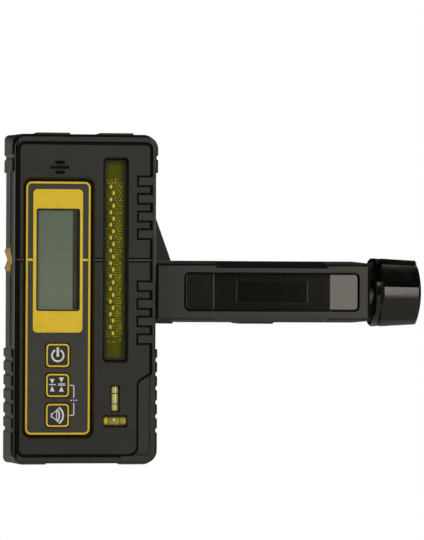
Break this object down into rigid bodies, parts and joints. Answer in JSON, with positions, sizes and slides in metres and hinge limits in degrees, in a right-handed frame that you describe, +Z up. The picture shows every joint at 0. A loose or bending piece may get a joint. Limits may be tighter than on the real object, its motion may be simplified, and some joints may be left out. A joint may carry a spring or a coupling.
{
  "type": "laser receiver with staff clamp",
  "caption": "Hand-held laser receiver with display, keys, tall sensor window and vials, screwed to a clamp whose knob drives a sliding jaw onto a levelling staff.",
  "frame": {"origin": "centre of the seat on the clamp arm's back face, midway between the two jaws at rest, where the staff's front rests", "axes": "+X along the clamp arm towards its knob, +Y out of the seat into the staff, so the receiver faces -Y, +Z up along the staff"},
  "size_m": [0.2026, 0.075, 0.1553],
  "materials": {
    "case_plastic": "fine moulded texture",
    "bumper_rubber": "matt moulded rubber",
    "grade_gold": "satin gold",
    "overlay_film": "printed polyester film",
    "clear_window": "clear, polished",
    "display_cell": "grey-green liquid crystal cell",
    "light_guide": "white diffuser",
    "key_rubber": "printed silicone rubber",
    "switch_can": "plated steel",
    "circuit_board": "green solder mask",
    "chip_epoxy": "black moulding compound",
    "diode_resin": "amber resin",
    "amber_filter": "amber tinted, polished",
    "vial_resin": "clear acrylic",
    "vial_liquid": "yellow-green liquid",
    "screw_steel": "zinc plated",
    "cell_jacket": "shrink wrap",
    "contact_nickel": "nickel plated spring steel",
    "brass": "turned",
    "arm_plastic": "glass filled nylon, fine texture",
    "knob_plastic": "satin",
    "pad_rubber": "soft grip rubber"
  },
  "bodies": {
    "receiver": {"front_housing": "case_plastic", "rear_housing": "case_plastic", "housing_seal": "pad_rubber", "housing_screws": "screw_steel", "bumper": "bumper_rubber", "grade_mark": "grade_gold", "keypad_overlay": "overlay_film", "display_window": "clear_window", "display_glass": "display_cell", "display_backlight": "light_guide", "key_switches": "switch_can", "main_board": "circuit_board", "board_screws": "screw_steel", "control_chip": "chip_epoxy", "buzzer": "chip_epoxy", "sensor_window": "amber_filter", "sensor_board": "circuit_board", "photodiodes": "diode_resin", "board_connector": "chip_epoxy", "plumb_vial": "vial_resin", "level_vial": "vial_resin", "vial_fluid": "vial_liquid", "vial_retainer": "case_plastic", "door_hinge_pin": "screw_steel", "battery_cells": "cell_jacket", "battery_contacts": "contact_nickel", "mount_insert": "brass", "clamp_arm": "arm_plastic", "end_plug": "arm_plastic", "screw_bushes": "brass", "fixed_jaw_pad": "pad_rubber"},
    "power_key": {"button_power": "key_rubber"},
    "sensitivity_key": {"button_sensitivity": "key_rubber"},
    "sound_key": {"button_sound": "key_rubber"},
    "door": {"battery_door": "case_plastic"},
    "clamp_drive": {"lead_screw": "screw_steel", "thrust_washers": "screw_steel", "clamp_knob": "knob_plastic"},
    "jaw": {"sliding_jaw": "arm_plastic", "jaw_nut": "brass", "sliding_jaw_pad": "pad_rubber"},
    "screw_carrier": {"mount_washer": "screw_steel"},
    "thumb_screw": {"mount_screw": "screw_steel", "mount_knob": "knob_plastic"}
  },
  "joints": [
    {"name": "power_key_press", "type": "slide", "parent": "receiver", "child": "power_key", "axis": [0, 1, 0], "range_m": [0, 0.0006], "stiffness_N_per_m": 1500, "springref_m": -0.0004},
    {"name": "sensitivity_key_press", "type": "slide", "parent": "receiver", "child": "sensitivity_key", "axis": [0, 1, 0], "range_m": [0, 0.0006], "stiffness_N_per_m": 1500, "springref_m": -0.0004},
    {"name": "sound_key_press", "type": "slide", "parent": "receiver", "child": "sound_key", "axis": [0, 1, 0], "range_m": [0, 0.0006], "stiffness_N_per_m": 1500, "springref_m": -0.0004},
    {"name": "battery_door_hinge", "type": "hinge", "parent": "receiver", "child": "door", "pos_m": [-0.0642, -0.0219, -0.0736], "axis": [-1, 0, 0], "range_deg": [0, 100]},
    {"name": "clamp_knob_turn", "type": "hinge", "parent": "receiver", "child": "clamp_drive", "pos_m": [0.09, -0.01, 0], "axis": [1, 0, 0], "range_deg": [-900, 3240]},
    {"name": "jaw_slide", "type": "slide", "parent": "receiver", "child": "jaw", "axis": [1, 0, 0], "range_m": [-0.0101, 0.0361]},
    {"name": "mount_screw_advance", "type": "slide", "parent": "receiver", "child": "screw_carrier", "axis": [0, 1, 0], "range_m": [0, 0.0051]},
    {"name": "mount_screw_turn", "type": "hinge", "parent": "screw_carrier", "child": "thumb_screw", "pos_m": [-0.0642, -0.012, 0.0148], "axis": [0, 1, 0], "range_deg": [0, 1440]}
  ],
  "couplings": [
    {"joint": "jaw_slide", "follows": "clamp_knob_turn", "m_per_rad": 0.00063662},
    {"joint": "mount_screw_advance", "follows": "mount_screw_turn", "m_per_rad": 0.00020213}
  ]
}
